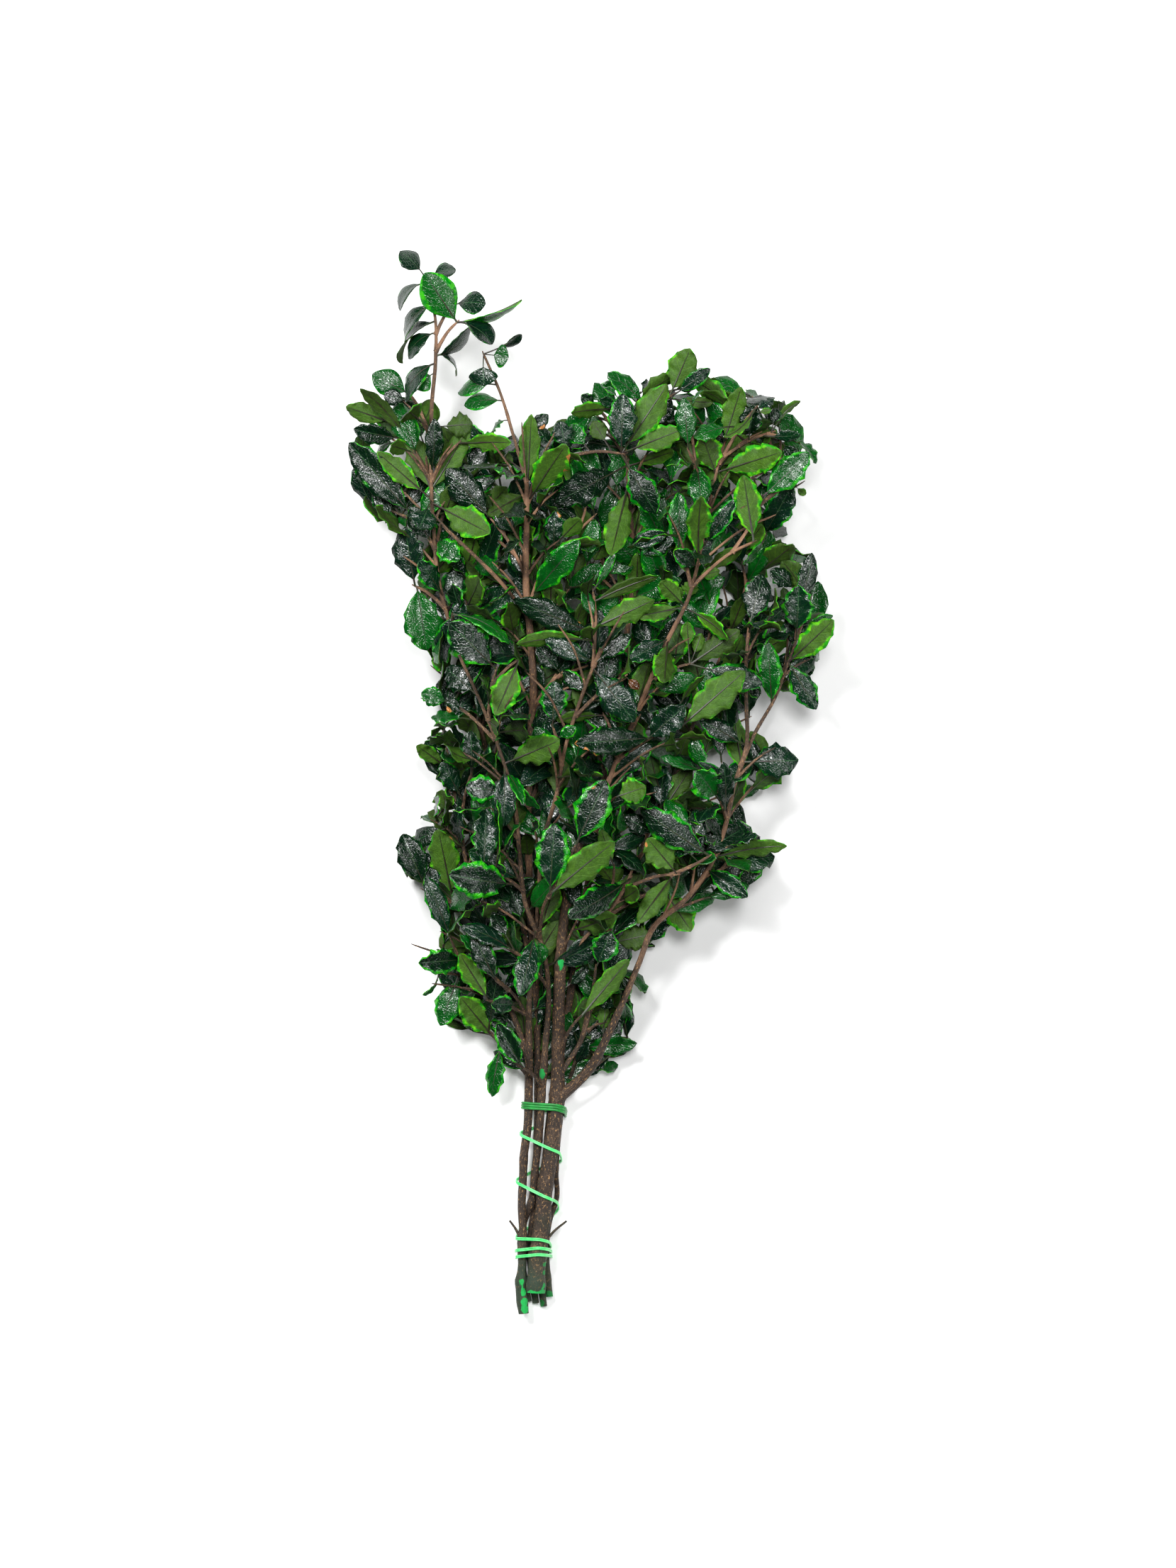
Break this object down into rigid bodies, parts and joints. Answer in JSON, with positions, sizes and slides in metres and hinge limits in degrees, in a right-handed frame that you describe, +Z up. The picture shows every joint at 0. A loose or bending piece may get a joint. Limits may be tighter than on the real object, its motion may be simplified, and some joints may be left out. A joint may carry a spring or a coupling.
{
  "type": "pittosporum bunch",
  "caption": "Bunch of cut pittosporum lying on its side: leafy woody stems fanned out from a bundle held by a short close tie and a long spiral tie.",
  "frame": {"origin": "on the table, under the middle of the box round the lying bunch", "axes": "+Y along the bunch from the cut ends to the leafy heads, +Z up from the table, +X to the right of the bunch seen from above with its heads away from the viewer"},
  "size_m": [0.2964, 0.6488, 0.1072],
  "materials": {
    "leafy_stem": "dark green waxy leaves with paler undersides on brown bark",
    "upper_cord": "green elastic cord",
    "spiral_cord": "light green elastic cord"
  },
  "bodies": {
    "root": {"centre_stem": "leafy_stem", "left_stem": "leafy_stem", "middle_stem": "leafy_stem", "back_stem": "leafy_stem", "crown_stem": "leafy_stem", "thin_stem": "leafy_stem", "upper_tie": "upper_cord", "spiral_tie": "spiral_cord"}
  },
  "joints": []
}
